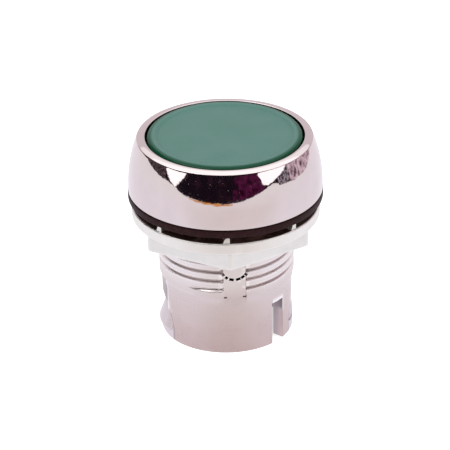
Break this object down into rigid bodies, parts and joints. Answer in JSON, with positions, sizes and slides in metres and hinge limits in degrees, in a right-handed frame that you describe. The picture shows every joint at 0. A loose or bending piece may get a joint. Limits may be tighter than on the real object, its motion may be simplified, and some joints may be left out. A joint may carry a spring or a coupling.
{
  "type": "push button head",
  "caption": "Flush spring-return push-button head with a green cap, chromed bezel, threaded sleeve, panel gasket, toothed clamp washer and hexagon nut.",
  "frame": {"origin": "on the sleeve's axis at its rear end, the bottom centre of the part's box", "axes": "+Z along the sleeve towards the operator, -Y through the keyway"},
  "size_m": [0.0296, 0.0296, 0.0322],
  "materials": {
    "bezel_chrome": "bright chrome plate, mirror smooth",
    "die_cast_zinc": "satin nickel-plated zinc die casting",
    "nut_zinc": "bright satin plated zinc die casting",
    "gasket_rubber": "smooth dark rubber, slight sheen",
    "seal_rubber": "matte black rubber",
    "green_cap": "satin moulded green plastic with a polished rim",
    "dark_nylon": "moulded dark nylon",
    "natural_nylon": "moulded natural nylon",
    "spring_steel": "drawn and stamped stainless steel"
  },
  "bodies": {
    "housing": {"bezel_ring": "bezel_chrome", "body_sleeve": "die_cast_zinc", "bezel_o_ring": "seal_rubber", "panel_gasket": "gasket_rubber", "stem_seal": "seal_rubber", "seal_retainer": "spring_steel", "guide_bush": "natural_nylon", "bush_circlip": "spring_steel", "spring_seat": "spring_steel", "return_spring": "spring_steel"},
    "button": {"button_cap": "green_cap", "cap_carrier": "dark_nylon", "plunger": "natural_nylon", "contact_pusher": "dark_nylon"},
    "clamp_washer": {"toothed_washer": "nut_zinc"},
    "clamp_nut": {"hex_nut": "nut_zinc"}
  },
  "joints": [
    {"name": "press", "type": "slide", "parent": "housing", "child": "button", "axis": [0, 0, -1], "range_m": [0, 0.0043], "stiffness_N_per_m": 800, "springref_m": -0.0025, "deforming": ["return_spring"]},
    {"name": "washer_slide", "type": "slide", "parent": "housing", "child": "clamp_washer", "axis": [0, 0, -1], "range_m": [0, 0.00525]},
    {"name": "nut_spin", "type": "hinge", "parent": "clamp_washer", "child": "clamp_nut", "pos_m": [0, 0, 0.0177], "axis": [0, 0, -1], "range_deg": [0, 1260]}
  ],
  "couplings": [
    {"joint": "nut_spin", "follows": "washer_slide", "rad_per_m": 4188.8}
  ]
}
